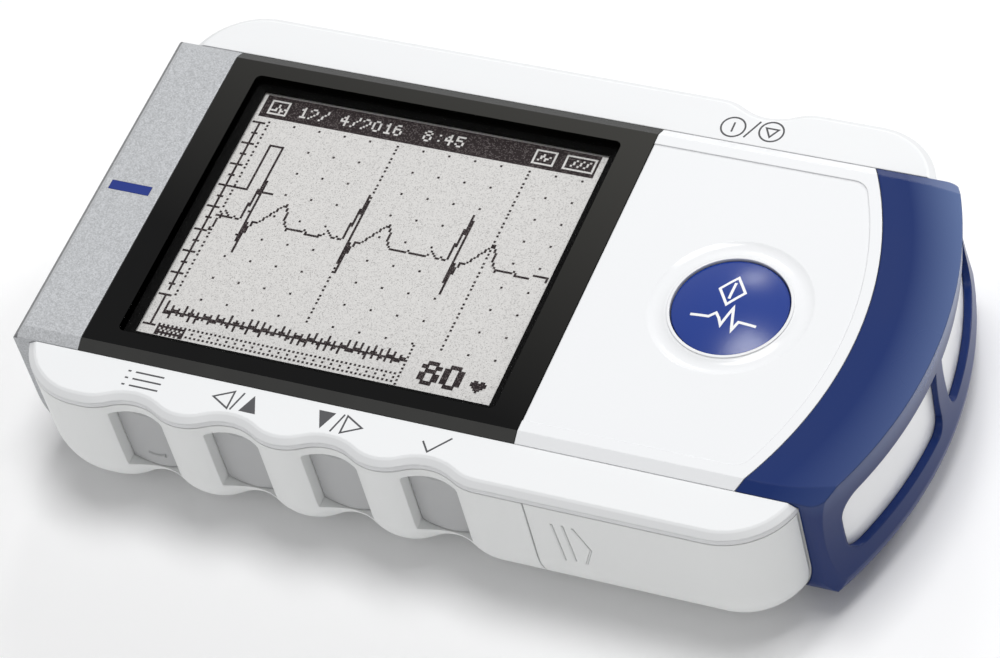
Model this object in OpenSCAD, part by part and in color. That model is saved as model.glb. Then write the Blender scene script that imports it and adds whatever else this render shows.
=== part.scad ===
// Handheld heart monitor with a screen, a start button, side keys and electrodes at both ends.
// +X runs from the chest pad to the finger grip, +Y to the rear rail, +Z up through the screen.
// The origin is under the middle of the object, on the surface that it lies on.

/* [Overall size] */
// Length from the chest pad to the rim of the finger grip
overall_l = 121; // [115:1:146]
// Width across the two rails
overall_w = 67; // [65:1:81]
// Height up to the rim of the finger grip
overall_h = 24; // [24:0.5:29]

/* [Case] */
// Wall of the rear cover and battery cover
wall = 1.8; // [1.5:0.1:2.2]
// Radius of the corners, and between the walls and the underside
bottom_r = 10; // [9:0.5:10]
// Height of the top cover's edge above the seam
lip_h = 1.5; // [1.2:0.1:1.8]
// Height of the bevel on that edge
bevel_h = 0.7; // [0.4:0.1:1.1]
// How far that bevel leans in
bevel_in = 1.1; // [0.6:0.1:1.4]
// Thickness of the end cap on the chest end
cap_t = 2; // [1.6:0.1:2.6]

/* [Deck] */
// Width of the raised deck along its top
deck_w = 49.4; // [49:0.2:52]
// Step from the deck down to the rails
deck_step = 0.8; // [0.5:0.1:1]
// Width of the sloped edge of the deck
deck_slope = 1.5; // [1:0.1:2]
// Thickness of the window and the start panel
face_t = 1.5; // [1.2:0.1:1.8]
// Length of the metallic bar on the deck
bar_l = 9.7; // [8:0.1:12]
// Length of the display window
window_l = 61.5; // [60:0.5:66]

/* [Screen] */
// Length of the screen glass
lcd_l = 54.5; // [48:0.5:55]
// Width of the screen glass
lcd_w = 47; // [44:0.5:47]
// Thickness of the screen glass
lcd_t = 1.8; // [1.6:0.1:2.2]
// Length of the screen that the window shows
view_l = 50.2; // [40:0.2:52]
// Width of the screen that the window shows
view_w = 42; // [36:0.2:43]

/* [Start button] */
// Diameter of the button
start_d = 15.2; // [12:0.2:17]
// Distance from the grip rim to the middle of the button
start_from_rim = 27.5; // [26:0.5:31]
// Width of the dished ring around the button
dish_w = 2.8; // [2:0.2:3.6]
// Depth of the dished ring
dish_depth = 0.4; // [0.3:0.1:0.7]

/* [Side keys] */
// Width of a key
key_w = 7.8; // [6:0.2:8]
// Height of a key
key_h = 12.1; // [9:0.1:12.1]
// Spacing of the keys and their finger scallops
key_pitch = 13.8; // [13:0.1:14.4]
// Distance from the end cap to the first key
first_key = 20.2; // [20:0.2:24]
// Depth of a finger scallop
scallop_depth = 1.8; // [1.2:0.1:2]
// Depth of a key face below its scallop
key_recess = 0.6; // [0.5:0.1:1.1]
// Sag of a key's curved lower edge
key_sag = 1.2; // [0.5:0.1:2]
// Distance from the grip rim to the power key
power_from_rim = 34.2; // [33:0.2:38]
// Travel of every button and key
key_travel = 0.4; // [0.2:0.05:0.4]

/* [Finger grip] */
// Width of the coloured band on the deck
band_l = 10.4; // [9:0.2:12]
// Radius of the rim in plan
rim_r = 57.8; // [54:0.2:66]
// Radius of the band's inner edge in plan
band_r = 52.7; // [50:0.2:60]
// Height of the rim above the deck
rim_rise = 0.7; // [0.3:0.1:0.9]
// How far the end wall is waisted below the rim
waist = 0.65; // [0.4:0.05:0.8]
// Height of the electrode openings
opening_h = 10.4; // [8:0.2:11]
// Width of the bridge between the openings
bridge_w = 2.2; // [1.8:0.1:4]

/* [Battery bay] */
// Diameter of a cell
cell_d = 10.5; // [8.5:0.1:10.5]
// Length of a cell
cell_l = 44.5; // [38:0.5:44.5]
// Length of the battery cover
cover_l = 33.8; // [33:0.2:36]
// Thickness of the bay walls
bay_wall = 1.2; // [1:0.1:1.4]

/* [Chest pad] */
// Width of the chest electrode
pad_w = 36; // [28:0.5:42]
// Height of the chest electrode
pad_h = 15; // [12:0.5:16]
// How far it stands proud of the end cap
pad_proud = 3.2; // [2:0.1:4]

/* [Fits] */
// Gap along the case seam and between fixed neighbours
seam = 0.1; // [0.05:0.05:0.15]
// Gap around moving keys and the sliding cover
slide = 0.2; // [0.15:0.05:0.25]
// Radial gap of a plunger in its switch
plunger_gap = 0.08; // [0.05:0.01:0.1]

/* [Hidden] */
$fn = 96;
eps = 0.01;
big = 200;

// stations along X
rim_x = overall_l / 2;
cap_x = -overall_l / 2 + pad_proud;
case_x0 = cap_x + cap_t;
case_x1 = rim_x - 9;
bar_x1 = cap_x + bar_l;
window_x1 = bar_x1 + window_l;
screen_x = (bar_x1 + window_x1) / 2;
start_x = rim_x - start_from_rim;
key_x = [for (i = [0:3]) cap_x + first_key + i * key_pitch];
power_x = rim_x - power_from_rim;
rim_cx = rim_x - rim_r;
band_cx = rim_x - band_l - band_r;
cover_x0 = case_x1 - cover_l;

// stations along Y
half_w = overall_w / 2;
deck_half = deck_w / 2;
foot_half = deck_half + deck_slope;
round_y = half_w - bottom_r;
trough_y = half_w - scallop_depth;
inner_half = trough_y - wall;
skirt_in = scallop_depth + 1.2;
skirt_t = 1;

// levels along Z
deck_z = overall_h - rim_rise;
rail_z = deck_z - deck_step;
seam_z = rail_z - lip_h;
tape_t = 0.2;
face_z = deck_z - face_t;
seat_z = face_z - tape_t;
plate_t = 1.5;
plate_z = seat_z - plate_t;
skirt_z = seam_z - 2;
lcd_z = face_z - 0.5 - lcd_t;
holder_h = 3.3;
board_z = lcd_z - holder_h;
board_t = 1;
key_z = plate_z - 0.6 - key_h / 2;

// finger scallops: equal arcs, crest and trough
wave_p = key_pitch / 2;
wave_r = (wave_p * wave_p + scallop_depth * scallop_depth) / (4 * scallop_depth);
wave_cos = 1 - scallop_depth / (2 * wave_r);

// battery bay
cell_z = 8.3;
cell_play = 0.5;
cell_x = [case_x1 - 14.65 - cell_d - cell_play * 2, case_x1 - 14.65];
bay_x0 = cell_x[0] - cell_d / 2 - cell_play;
bay_x1 = cell_x[1] + cell_d / 2 + cell_play;
cell_y0 = -half_w + 6.9;
contact_t = 0.3;
bay_y0 = cell_y0 - contact_t;
spring_l = 3.7;
bay_y1 = cell_y0 + cell_l + spring_l + contact_t;
bay_roof = cell_z + cell_d / 2 + 0.35;
liner_z = wall + slide;
liner_t = 1.2;
cover_y1 = bay_y1 + bay_wall + 0.6;
cover_under = 0.2;
tongue = 1.1;
tongue_t = 0.75;

// screws: two at the chest end, two amidships, two beside the bay
boss_r = 2.2;
screw_r = 1;
screw_head_r = 1.9;
screw_head_h = 1.2;
screw_xy = [
    [case_x0 + 5.8, round_y - 4.5], [case_x0 + 5.8, 4.5 - round_y],
    [window_x1 - 0.2, round_y - 4.5], [window_x1 - 0.2, 4.5 - round_y],
    for (s = [1, -1]) [case_x1 - 6.4, s * min(round_y - 2, foot_half - 4.7)]
];
screw_z = [3, 3, 3, 3, bay_roof - 5.4, bay_roof - 5.4];
boss_split = [8, 8, 8, 8, bay_roof + 1.1, bay_roof + 1.1];
hole_h = [7, 7, 7, 7, 4.6, 4.6];

// boards and their switches
board_half = round_y - 0.3;
flex_y = board_half + 1.5;
key_board_y = round_y + 0.7;
key_board_t = 1;
switch_d = 1.6;
switch_w = 5;
plunger_r = 1.25;
plunger_l = 1.7;
flange_y = inner_half - slide;
flange_t = 0.8;
flange_over = 0.5;
plunger_y = key_board_y + key_board_t + switch_d + 0.8;
start_switch_h = 2.6;
start_plunger_r = 1.6;
start_plunger_top = board_z + start_switch_h + 0.8;
start_flange_top = face_z - 0.1;
start_flange_t = 0.7;
start_flange_r = start_d / 2 + 1.6;
start_base_z = deck_z - 0.3;

// ---------- shared forms ----------

// turns a shape drawn in the XY plane so that it runs along X
module along_x(x0, x1) {
    translate([x0, 0, 0]) rotate([90, 0, 90]) linear_extrude(x1 - x0) children();
}

// turns a shape drawn in the XZ plane so that it runs along Y
module along_y(y0, y1) {
    translate([0, y1, 0]) rotate([90, 0, 0]) linear_extrude(y1 - y0) children();
}

module box(p, q) {
    translate(p) cube(q - p);
}

// plan of the case without its scallops
module case_plan(inset = 0) {
    r = bottom_r - inset;
    x0 = case_x0 + inset;
    x1 = case_x1 - inset;
    h = half_w - inset;
    translate([x0 + r, -h]) square([x1 - x0 - 2 * r, 2 * h]);
    translate([x0, -h + r]) square([x1 - x0, 2 * h - 2 * r]);
    for (x = [x0 + r, x1 - r], y = [-h + r, h - r]) translate([x, y]) circle(r);
}

// cross-section of the case across X: upright sides, round bilges, flat bottom
module case_section(inset = 0) {
    r = bottom_r - inset;
    translate([-half_w + inset, bottom_r]) square([2 * (half_w - inset), big]);
    translate([-round_y, inset]) square([2 * round_y, big]);
    for (y = [-round_y, round_y]) translate([y, bottom_r]) circle(r);
}

// lengthways section of the case: both ends round into the flat bottom
module case_profile(inset = 0) {
    x0 = case_x0 + bottom_r;
    x1 = case_x1 - bottom_r;
    translate([case_x0 + inset, bottom_r]) square([case_x1 - case_x0 - 2 * inset, big]);
    translate([x0, inset]) square([x1 - x0, big]);
    for (x = [x0, x1]) translate([x, bottom_r]) circle(bottom_r - inset);
}

// half section of a corner around its upright axis: a quarter of a ball under a straight wall
module corner_section(inset) {
    r = bottom_r - inset;
    translate([0, bottom_r]) square([r, big]);
    intersection() {
        translate([0, bottom_r]) circle(r);
        square([r, bottom_r + eps]);
    }
}

// the whole case as a solid: both sections crossed, and a ball under each corner
module case_body(inset, top) {
    x0 = case_x0 + bottom_r;
    x1 = case_x1 - bottom_r;
    intersection() {
        union() {
            along_x(x0, x1) case_section(inset);
            along_y(-round_y, round_y) case_profile(inset);
            for (c = [[x1, round_y, 0], [x0, round_y, 90], [x0, -round_y, 180], [x1, -round_y, 270]]) {
                translate([c[0], c[1], 0]) rotate([0, 0, c[2]]) rotate_extrude(angle = 90) corner_section(inset);
            }
        }
        box([-big, -big, -1], [big, big, top]);
    }
}

// what a row of scallops takes away from the front wall, in plan
module scallop_plan(xs) {
    n = len(xs);
    mid = -half_w + wave_r - wave_r * wave_cos;
    difference() {
        translate([xs[0] - wave_p, -half_w - 2]) square([xs[n - 1] - xs[0] + 2 * wave_p, mid + half_w + 2]);
        for (i = [0:n]) {
            translate([(i == 0 ? xs[0] : xs[i - 1] + 2 * wave_p) - wave_p, -half_w + wave_r]) circle(wave_r);
        }
    }
    for (x = xs) translate([x, -half_w + scallop_depth - wave_r]) circle(wave_r);
}

// the same row between two levels, upright
module scallop_upright(xs, z0, z1) {
    translate([0, 0, z0]) linear_extrude(z1 - z0) scallop_plan(xs);
}

// the same row turned down and under the case around an axis at the given distance
module scallop_bilge(xs, axis_y) {
    translate([0, -axis_y, bottom_r]) rotate([-90, 0, 0]) rotate([0, 90, 0]) rotate_extrude(angle = 90)
        intersection() {
            translate([-axis_y, 0]) rotate(90) scallop_plan(xs);
            translate([0.5, -big]) square([half_w - axis_y + 1.5, 2 * big]);
        }
}

// long run-out that lets the row fade into the flat bottom
module scallop_runout(xs) {
    r = 14;
    turn = acos(1 - scallop_depth / r) + 1;
    translate([0, -round_y, scallop_depth - r]) rotate([0, -90, 0]) rotate_extrude(angle = turn) intersection() {
        translate([half_w + r - scallop_depth, 0]) rotate(-90) scallop_plan(xs);
        translate([r - scallop_depth - 2, -big]) square([big, 2 * big]);
    }
}

module scallops_front() {
    scallop_upright(key_x, bottom_r, big);
    scallop_bilge(key_x, round_y);
    scallop_runout(key_x);
}

// the one on the rear turns around a nearer axis, so it fades out on the bilge
module scallops_rear() {
    mirror([0, 1, 0]) scallop_upright([power_x], bottom_r, big);
    mirror([0, 1, 0]) scallop_bilge([power_x], round_y - 2.5 * scallop_depth);
}

// the same row across the bevelled lip, where every arc is a cone
module scallop_lip(xs, h, lean) {
    n = len(xs);
    k = lean / h;
    in0 = -k * eps;
    in1 = lean + k * eps;
    mid0 = wave_r - (wave_r - in0) * wave_cos;
    mid1 = wave_r - (wave_r - in1) * wave_cos;
    difference() {
        along_x(xs[0] - wave_p, xs[n - 1] + wave_p)
            polygon([[-half_w - 2, -eps], [-half_w + mid0, -eps], [-half_w + mid1, h + eps], [-half_w - 2, h + eps]]);
        for (i = [0:n]) {
            translate([(i == 0 ? xs[0] : xs[i - 1] + 2 * wave_p) - wave_p, -half_w + wave_r, -eps])
                cylinder(h = h + 2 * eps, r1 = wave_r - in0, r2 = wave_r - in1);
        }
    }
    for (x = xs) {
        translate([x, -half_w + scallop_depth - wave_r, -eps])
            cylinder(h = h + 2 * eps, r1 = wave_r + in0, r2 = wave_r + in1);
    }
}

// slab that the top cover shows above the seam, with its bevelled upper edge
module lip_slab() {
    r = bottom_r;
    x0 = case_x0 + r;
    x1 = case_x1 - r;
    y1 = half_w - r;
    h = bevel_h;
    e = bevel_in;
    translate([0, 0, seam_z]) linear_extrude(lip_h - bevel_h) difference() {
        case_plan(0);
        scallop_plan(key_x);
        mirror([0, 1]) scallop_plan([power_x]);
    }
    translate([0, 0, rail_z - bevel_h]) difference() {
        union() {
            along_x(x0, x1) polygon([[-half_w, 0], [half_w, 0], [half_w - e, h], [-half_w + e, h]]);
            along_y(-y1, y1) polygon([[case_x0, 0], [case_x1, 0], [case_x1 - e, h], [case_x0 + e, h]]);
            for (x = [x0, x1], y = [-y1, y1]) translate([x, y, 0]) cylinder(h = h, r1 = r, r2 = r - e);
        }
        scallop_lip(key_x, h, e);
        mirror([0, 1, 0]) scallop_lip([power_x], h, e);
    }
}

// section of the raised deck: flat top and sloped edges, straight sides below
module deck_section(bottom, gap = 0) {
    f = foot_half + gap;
    d = deck_half + gap;
    polygon([[-f, bottom], [f, bottom], [f, rail_z], [d, deck_z], [-d, deck_z], [-f, rail_z]]);
}

// place that the battery cover takes in the case
module cover_zone(g = 0) {
    intersection() {
        union() {
            box([cover_x0 - g, -big, -1], [big, -foot_half - seam + g, seam_z + eps]);
            box([cover_x0 - g, -big, -1], [big, cover_y1 + g, wall + g]);
        }
        box([-big, -big, -1], [big, big, seam_z - seam + g]);
    }
}

// ---------- casing ----------

module screw_bosses(bottoms, tops, r) {
    for (i = [0:5]) translate([screw_xy[i][0], screw_xy[i][1], bottoms[i]]) cylinder(h = tops[i] - bottoms[i], r = r);
}

module top_cover() {
    color("white") difference() {
        union() {
            lip_slab();
            translate([0, 0, plate_z]) linear_extrude(seam_z - plate_z + eps) case_plan(skirt_in);
            translate([0, 0, skirt_z]) linear_extrude(plate_z - skirt_z + eps) difference() {
                case_plan(skirt_in);
                case_plan(skirt_in + skirt_t);
            }
            screw_bosses([for (i = [0:5]) boss_split[i] + seam], [for (i = [0:5]) plate_z + eps], boss_r);
        }
        // seat of the deck pieces
        box([-big, -foot_half - seam, seat_z], [big, foot_half + seam, big]);
        // screen and start button
        box([screen_x - lcd_l / 2 - seam, -lcd_w / 2 - seam, skirt_z], [screen_x + lcd_l / 2 + seam, lcd_w / 2 + seam, big]);
        translate([start_x, 0, skirt_z]) cylinder(h = big, r = start_flange_r + 0.8);
        // way for the flexible strip of the screen
        box([screen_x - 10.4, lcd_w / 2 - 1, skirt_z], [screen_x + 10.4, flex_y + 0.4, lcd_z + lcd_t / 2 + 0.6]);
        // free way for the hook of the sliding cover, and for the keys
        box([case_x1 - bottom_r, -big, skirt_z - eps], [big, -foot_half - seam, plate_z]);
        for (x = key_x) key_notch(x);
        mirror([0, 1, 0]) key_notch(power_x);
        for (i = [0:5]) {
            translate([screw_xy[i][0], screw_xy[i][1], boss_split[i] - eps]) cylinder(h = hole_h[i], r = screw_r + 0.05);
        }
    }
}

// a key seen from the front: square shoulders and a curved lower edge
module key_outline(g) {
    w = key_w / 2 - g;
    z0 = key_z - key_h / 2 + g;
    z1 = key_z + key_h / 2 - g;
    r = (w * w + key_sag * key_sag) / (2 * key_sag);
    c = 0.4;
    intersection() {
        translate([-w, z0]) square([2 * w, key_sag + eps]);
        translate([0, z0 + r]) circle(r);
    }
    translate([-w, z0 + key_sag]) square([2 * w, z1 - z0 - key_sag - c]);
    translate([-w + c, z1 - 1]) square([2 * (w - c), 1]);
    for (x = [-w + c, w - c]) translate([x, z1 - c]) circle(c);
}

// gap in the skirt of the top cover behind a key
module key_notch(x) {
    w = key_w / 2 + flange_over + 0.3;
    box([x - w, -half_w, skirt_z - eps], [x + w, -half_w + skirt_in + skirt_t + 1, plate_z]);
}

module key_window(x) {
    translate([x, 0, 0]) along_y(-big, -inner_half + 1) key_outline(0);
}

// inside of the rear cover
module case_cavity() {
    intersection() {
        case_body(wall, big);
        along_x(-big, big) difference() {
            union() {
                translate([-inner_half, bottom_r]) square([2 * inner_half, big]);
                translate([-round_y, wall + scallop_depth]) square([2 * round_y, big]);
                translate([-round_y + 8, wall]) square([2 * round_y - 16, big]);
                for (y = [-round_y, round_y]) translate([y, bottom_r]) circle(inner_half - round_y);
            }
            for (s = [-1, 1]) translate([s * (inner_half + big / 2), big / 2]) square([big, 2 * big], center = true);
        }
    }
}

module bay_walls() {
    intersection() {
        box([bay_x0 - bay_wall, bay_y0 - bay_wall, liner_z], [bay_x1 + bay_wall, bay_y1 + bay_wall, bay_roof + 1]);
        case_body(liner_z, big);
    }
}

// lower skin of the bay side, which the battery cover hides
module bay_liner() {
    intersection() {
        union() {
            box([cover_x0 - 2.8, -big, wall - 0.2], [big, cover_y1 + 1.4, liner_z + liner_t]);
            box([cover_x0 - 1.4, bay_y0 - bay_wall, wall - 0.2], [case_x1 - 2.4, bay_y0, skirt_z - seam]);
            box([cover_x0 - 1.4, -big, wall - 0.2], [cover_x0 - slide, bay_y0, skirt_z - seam]);
        }
        case_body(liner_z - 0.4, big);
        union() {
            box([-big, -big, 0], [cover_x0 - slide, big, big]);
            case_body(liner_z, big);
        }
    }
}

module board_guides() {
    for (x = [key_x[0] - 5.2, key_x[3] + 5.2]) {
        difference() {
            box([x - 0.9, -key_board_y - key_board_t - 0.8, wall - 0.2], [x + 0.9, -key_board_y + 0.8, key_z]);
            box([x - 1, -key_board_y - key_board_t - seam, key_z - key_h / 2 - 1.6], [x + 1, -key_board_y + seam, big]);
        }
    }
    for (x = [power_x - 5.6, power_x + 5.6]) {
        difference() {
            box([x - 0.9, key_board_y - 0.4, wall - 0.2], [x + 0.9, key_board_y + key_board_t + 0.8, key_z]);
            box([x - 1, key_board_y - seam, key_z - key_h / 2 - 1.6], [x + 1, key_board_y + key_board_t + seam, big]);
        }
    }
}

module rear_cover() {
    color("whitesmoke") difference() {
        union() {
            difference() {
                case_body(0, seam_z - seam);
                case_cavity();
                cover_zone(slide);
                translate([0, 0, skirt_z - seam]) linear_extrude(big) case_plan(skirt_in - seam);
            }
            bay_liner();
            bay_walls();
            intersection() {
                union() {
                    screw_bosses([for (i = [0:5]) i < 4 ? wall - 0.2 : liner_z + 0.2], boss_split, boss_r);
                    board_guides();
                    for (x = [screen_x - lcd_l / 4, screen_x + lcd_l / 4], y = [-12, 12]) {
                        translate([x, y, wall - 0.2]) cylinder(h = board_z - board_t - wall + 0.2, r = 1.6);
                    }
                }
                case_body(liner_z - 0.4, big);
            }
        }
        scallops_front();
        scallops_rear();
        for (x = key_x) key_window(x);
        mirror([0, 1, 0]) key_window(power_x);
        // bay, open below
        box([bay_x0, bay_y0, -1], [bay_x1, bay_y1, bay_roof]);
        // pocket and groove for the tongues of the battery cover
        box([cover_x0 - tongue - slide, bay_y0, wall - tongue_t - 0.2], [cover_x0 + 1, bay_y1, liner_z]);
        box([cover_x0 - slide, bay_y1, wall - tongue_t - 0.2], [big, cover_y1 + tongue + slide, liner_z]);
        // stem of the chest electrode
        translate([-big, 0, pad_z]) rotate([0, 90, 0]) cylinder(h = big - 50, r = 1);
        translate([case_x0 - 1, 0, pad_z]) rotate([0, 90, 0]) cylinder(h = wall + 2, r = stem_r + seam);
        // finger contacts pass through the end wall
        for (y = [-finger_y, finger_y]) {
            box([case_x1 - wall - 1, y - 2.6, board_z - 0.4], [case_x1 + 1, y + 2.6, board_z + 1.4]);
        }
        for (y = [-lug_y, lug_y]) {
            box([case_x1 - wall - 1.6, y - lug_w / 2 - seam, lug_z - seam], [case_x1 + 1, y + lug_w / 2 + seam, lug_z + lug_t + seam]);
        }
        for (i = [0:5]) {
            translate([screw_xy[i][0], screw_xy[i][1], -1]) cylinder(h = screw_z[i] + 1, r = screw_head_r + 0.2);
            translate([screw_xy[i][0], screw_xy[i][1], -1]) cylinder(h = boss_split[i] + 2, r = screw_r + 0.1);
        }
    }
}

module battery_cover() {
    hook_z = skirt_z - 0.4;
    color("whitesmoke") union() {
        intersection() {
            difference() {
                case_body(0, seam_z - seam);
                case_body(wall, big);
            }
            union() {
                box([cover_x0, -big, cover_under], [big, -foot_half - seam - slide, big]);
                box([cover_x0, -big, cover_under], [big, cover_y1, wall]);
            }
        }
        // tongues that slide out of the case
        box([cover_x0 - tongue, bay_y0 + 2, wall - tongue_t], [cover_x0 + 1, bay_y1 - 2, wall]);
        box([cover_x0 + 1, cover_y1 - 1, wall - tongue_t], [case_x1 - bottom_r, cover_y1 + tongue, wall]);
        // hook behind the skirt of the top cover
        along_x(cover_x0 + 1, case_x1 - bottom_r - 1)
            polygon([
                [-half_w + wall - 0.5, hook_z - 1], [-half_w + skirt_in + skirt_t + 1.1, hook_z - 1],
                [-half_w + skirt_in + skirt_t + 1.1, skirt_z + 0.9], [-half_w + skirt_in + skirt_t + slide, skirt_z + 0.9],
                [-half_w + skirt_in + skirt_t + slide, hook_z], [-half_w + wall - 0.5, hook_z]
            ]);
    }
}

// ---------- chest end ----------

pad_z = 12.2;
stem_r = 1.5;
pad_base = 1;

module end_cap() {
    outer_r = bottom_r + cap_t;
    top_x = cap_x + 1.3;
    color("silver") difference() {
        intersection() {
            along_y(-foot_half, foot_half) union() {
                polygon([
                    [cap_x, bottom_r], [case_x0 + 1, bottom_r], [case_x0 + 1, face_z],
                    [bar_x1 - seam / 2, face_z], [bar_x1 - seam / 2, deck_z], [top_x, deck_z], [cap_x, deck_z - 1.1]
                ]);
                intersection() {
                    translate([case_x0 + bottom_r, bottom_r]) circle(outer_r);
                    translate([cap_x - 1, 3.2]) square([cap_t + 4, bottom_r - 3.2 + eps]);
                }
            }
            along_x(-big, big) deck_section(-1);
        }
        case_body(-seam, face_z);
        // seat of the pad and hole of its stem
        pad_seat(pad_w + 2 * seam, pad_h + 2 * seam);
        translate([cap_x - 1, 0, pad_z]) rotate([0, 90, 0]) cylinder(h = cap_t + 2, r = stem_r + seam);
        box([line_x0 - 0.02, -line_w / 2 - 0.02, deck_z - line_t], [line_x1 + 0.02, line_w / 2 + 0.02, big]);
    }
}

module pad_seat(w, h) {
    r = h / 2;
    translate([cap_x - 1, 0, pad_z]) rotate([90, 0, 90]) linear_extrude(1 + pad_base) union() {
        square([w - h, h], center = true);
        for (y = [-(w - h) / 2, (w - h) / 2]) translate([y, 0]) circle(r);
    }
}

line_x0 = cap_x + 2.1;
line_x1 = line_x0 + 6;
line_w = 1.5;
line_t = 0.5;

module line_inlay() {
    color("mediumblue") box([line_x0, -line_w / 2, deck_z - line_t], [line_x1, line_w / 2, deck_z]);
}

// half section of the chest pad: x is the distance from its middle, y its height off the seat
module pad_half_section() {
    r = pad_h / 2;
    rise = pad_proud + pad_base;
    edge = 0.9 + pad_base;
    dome = rise - edge;
    dome_r = (r * r + dome * dome) / (2 * dome);
    intersection() {
        translate([0, rise - dome_r]) circle(dome_r);
        square([r, rise]);
    }
}

module chest_electrode() {
    run = pad_w - pad_h;
    color("silver") union() {
        translate([cap_x + pad_base, 0, pad_z]) rotate([0, -90, 0]) union() {
            for (s = [-1, 1]) translate([0, s * run / 2, 0]) rotate_extrude() pad_half_section();
            translate([0, run / 2, 0]) rotate([90, 0, 0]) linear_extrude(run) union() {
                pad_half_section();
                mirror([1, 0]) pad_half_section();
            }
        }
        translate([cap_x + pad_base - 0.2, 0, pad_z]) rotate([0, 90, 0]) cylinder(h = cap_t - pad_base + wall + 3.4, r = stem_r);
    }
}

module electrode_nut() {
    color("gray") translate([case_x0 + wall + 0.05, 0, pad_z]) rotate([0, 90, 0]) difference() {
        cylinder(h = 1.4, r = 3, $fn = 6);
        translate([0, 0, -1]) cylinder(h = 4, r = stem_r + 0.02, $fn = 48);
    }
}

module chest_contact() {
    x = case_x0 + wall + 1.5;
    color("goldenrod") difference() {
        union() {
            box([x, -2.5, pad_z - 2.5], [x + contact_t, 2.5, board_z + contact_t]);
            box([x, -2.5, board_z], [screen_x - lcd_l / 2 - 0.7, 2.5, board_z + contact_t]);
        }
        translate([x - 1, 0, pad_z]) rotate([0, 90, 0]) cylinder(h = 3, r = stem_r + 0.05);
    }
}

// ---------- finger grip ----------

finger_y = 10;
grip_wall = 1.5;
opening_z = 9;
grip_floor = liner_z + 0.4;
bilge_r = 4;
lug_y = foot_half - 3.8;
lug_w = 3.8;
lug_z = 6;
lug_t = 1.6;

// half section of the grip around the axis of its rim
module grip_half_section() {
    sag = rim_rise;
    run = rim_r - 50;
    hollow_r = (run * run + sag * sag) / (2 * sag);
    w = (overall_h - bilge_r - grip_floor) / 2;
    waist_r = (w * w + waist * waist) / (2 * waist);
    difference() {
        translate([0, grip_floor]) square([rim_r, overall_h - grip_floor]);
        translate([rim_r + waist_r - waist, overall_h - w]) circle(waist_r, $fn = 360);
        translate([50, deck_z + hollow_r]) circle(hollow_r, $fn = 360);
        translate([0, deck_z]) square([50, 5]);
        difference() {
            translate([rim_r - bilge_r, grip_floor - 1]) square([bilge_r + 1, bilge_r + 1]);
            translate([rim_r - bilge_r, grip_floor + bilge_r]) circle(bilge_r);
        }
    }
}

// what rounding takes off both corners where a circle meets the lines y = half and y = -half
module arc_corners(cx, big_r, half, r) {
    y = half - r;
    x = cx + sqrt((big_r - r) * (big_r - r) - y * y);
    d = [x - cx, y] / (big_r - r);
    for (s = [0, 1]) mirror([0, s]) difference() {
        translate([x, y]) polygon([[0, 0], [0, 2.5 * r], [2.5 * r, 2.5 * r], d * 2.5 * r]);
        translate([x, y]) circle(r);
    }
}

// plan of the grip, with its two round corners
module grip_plan() {
    difference() {
        intersection() {
            translate([rim_cx, 0]) circle(rim_r, $fn = 360);
            translate([0, -foot_half]) square([big, 2 * foot_half]);
        }
        arc_corners(rim_cx, rim_r, foot_half, 3);
        translate([band_cx, 0]) circle(band_r + seam / 2, $fn = 360);
    }
}

// opening for a finger electrode, looked at along X; wide at the side, narrow bridge at the middle
module grip_opening() {
    y0 = bridge_w / 2;
    y1 = foot_half - 3.2;
    r = 3;
    q = 2;
    difference() {
        polygon([
            [y0, opening_z + opening_h], [y0 + 0.5, opening_z], [y1 - r, opening_z], [y1, opening_z + r],
            [y1, opening_z + opening_h - r], [y1 - r, opening_z + opening_h]
        ]);
        difference() {
            translate([y0, opening_z]) square([q + 0.5, q]);
            translate([y0 + 0.5 + q, opening_z + q]) circle(q);
        }
    }
    for (z = [opening_z + r, opening_z + opening_h - r]) translate([y1 - r, z]) circle(r);
}

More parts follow.
